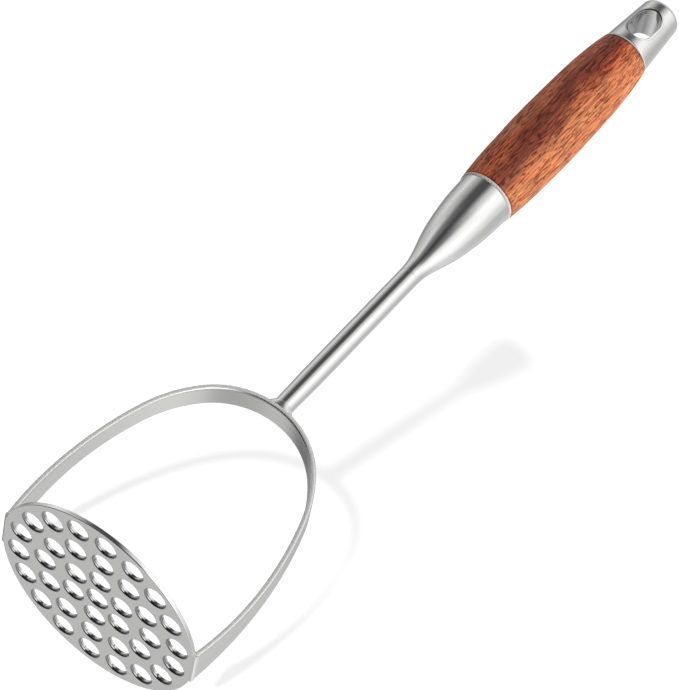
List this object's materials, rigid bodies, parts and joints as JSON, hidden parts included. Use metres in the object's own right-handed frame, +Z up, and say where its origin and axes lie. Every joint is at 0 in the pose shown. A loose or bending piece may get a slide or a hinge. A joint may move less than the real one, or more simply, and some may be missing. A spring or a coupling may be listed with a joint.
{
  "type": "potato masher",
  "caption": "Hand masher: a round punched disc on an arched strap yoke, with a rod shaft, a flared ferrule, a barrel-shaped wooden grip and a steel end cap with a hanging slot.",
  "frame": {"origin": "centre of the mashing disc's lower face, on the handle's axis; the object stands on the disc", "axes": "+Z runs up the handle, the yoke's arch lies in the XZ plane with its feet on +X and -X, and the hanging slot runs through along Y; right handed"},
  "size_m": [0.0856, 0.082, 0.3274],
  "materials": {
    "disc_steel": "satin, fine grain, punched holes with polished walls",
    "strap_steel": "satin with bright worn edges",
    "weld_steel": "ground flush and polished over",
    "shaft_steel": "polished along the axis, with fine lengthwise brush lines",
    "cap_steel": "satin",
    "inner_steel": "plain turned or drawn, not seen",
    "grip_wood": "turned reddish-brown hardwood with fine open pores along the grain, satin lacquer"
  },
  "bodies": {
    "root": {"mashing_disc": "disc_steel", "yoke_strap": "strap_steel", "left_foot_weld": "weld_steel", "right_foot_weld": "weld_steel", "shaft_collar": "weld_steel", "shaft_rod": "shaft_steel", "ferrule_bell": "shaft_steel", "ferrule_plug": "inner_steel", "tie_rod": "inner_steel", "wood_grip": "grip_wood", "cap_insert": "inner_steel", "end_cap": "cap_steel", "slot_sleeve": "cap_steel"}
  },
  "joints": []
}
